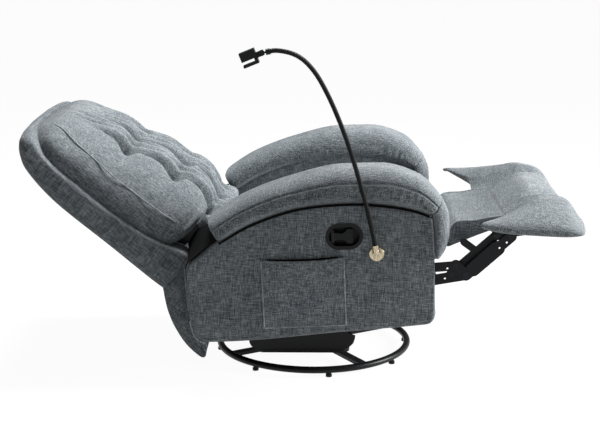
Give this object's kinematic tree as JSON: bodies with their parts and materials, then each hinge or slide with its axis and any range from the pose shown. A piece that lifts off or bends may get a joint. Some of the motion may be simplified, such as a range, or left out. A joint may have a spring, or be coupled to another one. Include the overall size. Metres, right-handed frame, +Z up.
{
  "type": "swivel rocking chair",
  "caption": "Upholstered recliner on a round swivel base with a sprung rocker, laid-back tufted back, folding footrest linkage, release lever, side pocket and bendable phone holder.",
  "frame": {"origin": "on the floor, at the swivel axis in the middle of the eight feet", "axes": "+X the way a sitter faces, +Y the sitter's left, +Z up"},
  "size_m": [1.583, 0.8842, 0.956],
  "materials": {
    "upholstery": "grey melange linen-look weave",
    "dust_cloth": "black woven lining",
    "black_steel": "black powder coat",
    "link_steel": "black powder coat, satin",
    "pin_steel": "zinc plated",
    "spring_steel": "oil-blackened spring wire",
    "ball_steel": "polished bearing steel",
    "frame_wood": "plain plywood and softwood",
    "nylon": "nylon bush",
    "foot_plastic": "moulded foot",
    "lever_plastic": "fine-grained black moulding",
    "holder_brass": "brushed champagne plate",
    "neck_sleeve": "ribbed flexible sleeve",
    "clamp_plastic": "soft-touch moulding"
  },
  "bodies": {
    "base": {"base_ring": "black_steel", "base_feet": "foot_plastic", "base_spokes": "black_steel", "base_hub": "black_steel", "bearing_balls": "ball_steel", "swivel_bolt": "pin_steel"},
    "platform": {"swivel_plate": "black_steel", "rocker_uprights": "black_steel", "rocker_shaft": "pin_steel", "rocker_springs": "spring_steel", "spring_seats": "nylon"},
    "seat_body": {"rocker_bushes": "nylon", "mechanism_side_plates": "black_steel", "cross_beams": "black_steel", "seat_rails": "frame_wood", "seat_straps": "dust_cloth", "arm_brackets": "black_steel", "arm_panel_right": "upholstery", "arm_panel_left": "upholstery", "arm_pad_right": "upholstery", "arm_pad_left": "upholstery", "arm_front_cap_right": "upholstery", "arm_front_cap_left": "upholstery", "seat_cushion": "upholstery", "seat_hinge_plates": "black_steel", "back_hinge_pins": "pin_steel", "plate_pivot_pins": "pin_steel", "chaise_hinge_ears": "black_steel", "chaise_hinge_pin": "pin_steel", "side_pocket": "upholstery", "lever_bezel": "lever_plastic", "lever_pin": "pin_steel", "holder_rosette": "holder_brass"},
    "back": {"back_shell": "upholstery", "rear_flap": "upholstery", "back_stiles": "frame_wood", "back_rails": "frame_wood", "back_hinge_arms": "black_steel", "back_cushion": "upholstery"},
    "front_link": {"front_links": "link_steel", "footrest_cross_tube": "black_steel", "knee_pins": "pin_steel"},
    "pad_link": {"pad_links": "link_steel", "pad_link_pins": "pin_steel"},
    "rear_link": {"rear_links": "link_steel"},
    "control_link": {"control_links": "link_steel"},
    "footrest": {"footrest_brackets": "link_steel", "footrest_control_pins": "pin_steel", "footrest_board": "frame_wood", "footrest_pad": "upholstery"},
    "chaise": {"chaise_board": "frame_wood", "chaise_hinge_leaf": "black_steel", "chaise_pad": "upholstery"},
    "lever": {"lever_paddle": "lever_plastic"},
    "phone_arm": {"neck_socket": "holder_brass", "phone_neck": "neck_sleeve", "neck_ferrule": "clamp_plastic"},
    "phone_clamp": {"clamp_body": "clamp_plastic", "clamp_screw": "clamp_plastic"},
    "clamp_jaw": {"clamp_jaw": "clamp_plastic"}
  },
  "joints": [
    {"name": "swivel", "type": "hinge", "parent": "base", "child": "platform", "pos_m": [0, 0, 0.05], "axis": [0, 0, 1], "continuous": true},
    {"name": "rock", "type": "hinge", "parent": "platform", "child": "seat_body", "pos_m": [-0.03, 0, 0.14], "axis": [0, 1, 0], "range_deg": [-4, 9], "stiffness_Nm_per_rad": 700, "springref_deg": 1.84, "deforming": ["rocker_springs"]},
    {"name": "recline", "type": "hinge", "parent": "seat_body", "child": "back", "pos_m": [-0.345, 0, 0.43], "axis": [0, 1, 0], "range_deg": [0, 33]},
    {"name": "footrest", "type": "hinge", "parent": "seat_body", "child": "front_link", "pos_m": [0.29, 0, 0.265], "axis": [0, 1, 0], "range_deg": [0, 80.86]},
    {"name": "rear_link", "type": "hinge", "parent": "seat_body", "child": "rear_link", "pos_m": [0.224, 0, 0.3046], "axis": [0, 1, 0], "range_deg": [0, 71.22]},
    {"name": "pad_link", "type": "hinge", "parent": "front_link", "child": "pad_link", "pos_m": [0.435, 0, 0.29], "axis": [0, 1, 0], "range_deg": [-108.75, 0]},
    {"name": "control_link", "type": "hinge", "parent": "front_link", "child": "control_link", "pos_m": [0.395, 0, 0.292], "axis": [0, 1, 0], "range_deg": [-108.75, 0]},
    {"name": "pad_tilt", "type": "hinge", "parent": "pad_link", "child": "footrest", "pos_m": [0.56, 0, 0.404], "axis": [0, 1, 0], "range_deg": [0, 108.75]},
    {"name": "chaise_fold", "type": "hinge", "parent": "seat_body", "child": "chaise", "pos_m": [0.35, 0, 0.36], "axis": [0, 1, 0], "range_deg": [0, 112.05]},
    {"name": "lever", "type": "hinge", "parent": "seat_body", "child": "lever", "pos_m": [0.05103, -0.413, 0.4456], "axis": [0.0436, 0, -0.999], "range_deg": [0, 32], "stiffness_Nm_per_rad": 0.3, "springref_deg": -11.46},
    {"name": "phone_arm", "type": "hinge", "parent": "seat_body", "child": "phone_arm", "pos_m": [0.171, -0.43, 0.4], "axis": [0, 1, 0], "range_deg": [-30, 30]},
    {"name": "clamp_tilt", "type": "hinge", "parent": "phone_arm", "child": "phone_clamp", "pos_m": [-0.13575, -0.441, 0.94257], "axis": [0, 1, 0], "range_deg": [-40, 40]},
    {"name": "clamp_grip", "type": "slide", "parent": "phone_clamp", "child": "clamp_jaw", "axis": [-0.3746, 0, 0.9272], "range_m": [0, 0.012], "stiffness_N_per_m": 250, "springref_m": -0.006}
  ],
  "couplings": [
    {"joint": "rear_link", "follows": "footrest", "ratio": 0.88024},
    {"joint": "pad_link", "follows": "footrest", "ratio": -1.3444},
    {"joint": "control_link", "follows": "footrest", "ratio": -1.3444},
    {"joint": "pad_tilt", "follows": "footrest", "ratio": 1.3444},
    {"joint": "chaise_fold", "follows": "footrest", "ratio": 1.3852}
  ]
}
